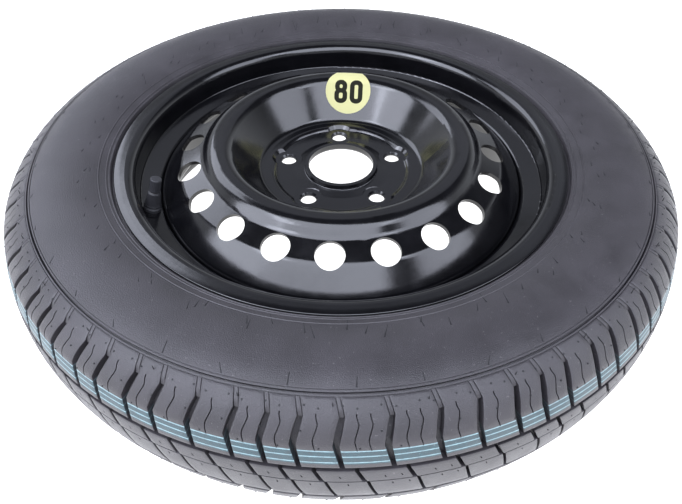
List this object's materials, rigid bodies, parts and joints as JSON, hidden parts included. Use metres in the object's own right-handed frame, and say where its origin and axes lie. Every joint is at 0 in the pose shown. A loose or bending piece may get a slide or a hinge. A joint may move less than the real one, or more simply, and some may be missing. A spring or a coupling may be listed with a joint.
{
  "type": "spare wheel",
  "caption": "Temporary spare wheel: narrow tyre with zigzag tread on a black pressed-steel wheel with round vents, bolt holes, centre bore and snap-in valve.",
  "frame": {"origin": "centre of the wheel on the tyre's middle plane", "axes": "+Z along the wheel's axis towards its outer face, which lies up"},
  "size_m": [0.6494, 0.6494, 0.132],
  "materials": {
    "tyre_rubber": "matte",
    "wheel_paint": "gloss",
    "label_paper": "satin",
    "valve_rubber": "matte",
    "valve_brass": "satin",
    "seal_rubber": "matte",
    "spring_steel": "satin",
    "cap_plastic": "satin"
  },
  "bodies": {
    "wheel": {"tyre": "tyre_rubber", "rim": "wheel_paint", "wheel_disc": "wheel_paint", "disc_welds": "wheel_paint", "speed_label": "label_paper", "valve_body": "valve_rubber", "valve_stem": "valve_brass", "core_barrel": "valve_brass", "core_barrel_seal": "seal_rubber", "core_spring": "spring_steel"},
    "cap": {"valve_cap": "cap_plastic", "cap_seal": "seal_rubber"},
    "valve_pin": {"core_pin": "valve_brass", "core_cup": "valve_brass", "core_cup_seal": "seal_rubber"}
  },
  "joints": [
    {"name": "cap_lift", "type": "slide", "parent": "wheel", "child": "cap", "axis": [0.2894, 0.1082, 0.9511], "range_m": [0, 0.025]},
    {"name": "pin_press", "type": "slide", "parent": "wheel", "child": "valve_pin", "axis": [-0.2894, -0.1082, -0.9511], "range_m": [0, 0.0015], "stiffness_N_per_m": 1500, "springref_m": -0.002, "deforming": ["core_spring"]}
  ]
}
